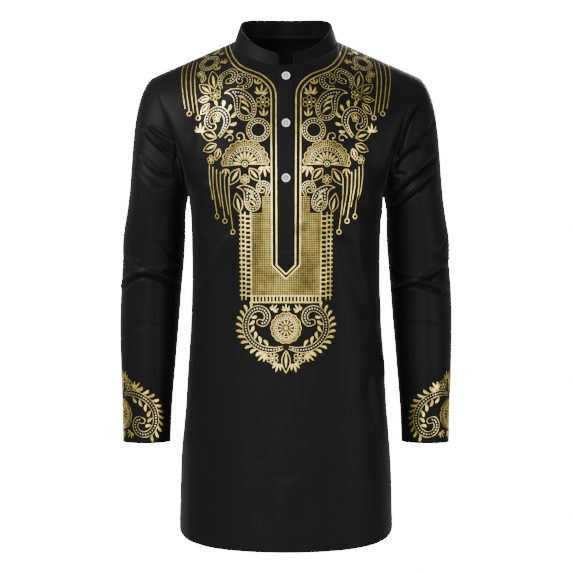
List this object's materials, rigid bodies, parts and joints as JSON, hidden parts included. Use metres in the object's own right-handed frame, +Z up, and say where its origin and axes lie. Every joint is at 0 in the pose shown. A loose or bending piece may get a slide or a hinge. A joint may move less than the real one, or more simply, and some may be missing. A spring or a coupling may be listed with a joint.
{
  "type": "dashiki shirt",
  "caption": "Long-sleeved tunic shirt with a stand collar, a short buttoned placket and a curved hem, filled out as when worn and open at neck, cuffs and hem.",
  "frame": {"origin": "midway between the two shoulder seams, where the cloth lies on the wearer's shoulders, 8 mm below the seams' ends at the collar", "axes": "+Z up along the wearer's spine, -Y out of the wearer's chest, +X towards the wearer's left sleeve"},
  "size_m": [0.5546, 0.2545, 0.8815],
  "materials": {
    "cloth": "smooth black polyester with a soft sheen, printed in gold foil",
    "label": "woven black satin label",
    "buttons": "pearly white resin"
  },
  "bodies": {
    "root": {"front": "cloth", "back": "cloth", "sleeve_left": "cloth", "sleeve_right": "cloth", "collar": "cloth", "placket_over": "cloth", "placket_under": "cloth", "neck_label": "label", "button_1": "buttons", "button_2": "buttons", "button_3": "buttons"}
  },
  "joints": []
}
